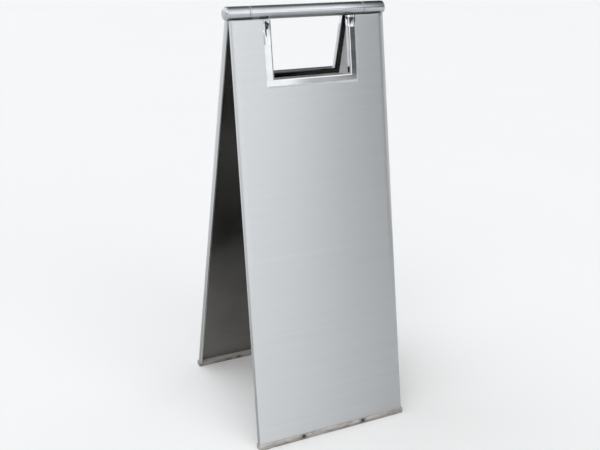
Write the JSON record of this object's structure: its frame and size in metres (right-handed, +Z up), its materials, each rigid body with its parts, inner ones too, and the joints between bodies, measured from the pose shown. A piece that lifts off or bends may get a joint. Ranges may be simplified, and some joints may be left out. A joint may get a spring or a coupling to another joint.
{
  "type": "floor warning sign",
  "caption": "Folding A-frame floor sign of stainless sheet: blank brushed leaves with hand windows, hinged on a polished top tube that is also the carrying handle.",
  "frame": {"origin": "on the floor, under the middle of the top tube, with the sign open", "axes": "+X along the top tube to the right seen from the front, +Y from the front leaf to the back leaf, +Z up"},
  "size_m": [0.2534, 0.2742, 0.6335],
  "materials": {
    "brushed_sheet": "brushed",
    "polished_steel": "mirror polished",
    "plain_steel": "machined",
    "dark_steel": "blackened",
    "weld_metal": "ground weld"
  },
  "bodies": {
    "front_leaf": {"front_panel": "brushed_sheet", "front_window_strip_left": "polished_steel", "front_window_strip_right": "polished_steel", "front_window_sill": "polished_steel", "front_foot_rail": "polished_steel", "front_rail_rivets": "dark_steel", "front_weld_beads": "weld_metal", "centre_tube": "polished_steel", "left_hinge_bush": "polished_steel", "right_hinge_bush": "polished_steel", "stop_ring": "plain_steel"},
    "back_leaf": {"back_panel": "brushed_sheet", "back_window_strip_left": "polished_steel", "back_window_strip_right": "polished_steel", "back_window_sill": "polished_steel", "back_foot_rail": "polished_steel", "back_rail_rivets": "dark_steel", "back_weld_beads": "weld_metal", "left_end_knuckle": "polished_steel", "right_end_knuckle": "polished_steel", "left_end_cap": "polished_steel", "right_end_cap": "polished_steel", "hinge_axle": "plain_steel", "left_axle_collar": "plain_steel", "right_axle_collar": "plain_steel", "stop_pin": "plain_steel"}
  },
  "joints": [
    {"name": "leaf_fold", "type": "hinge", "parent": "front_leaf", "child": "back_leaf", "pos_m": [0, 0, 0.624], "axis": [-1, 0, 0], "range_deg": [0, 22.8]}
  ]
}
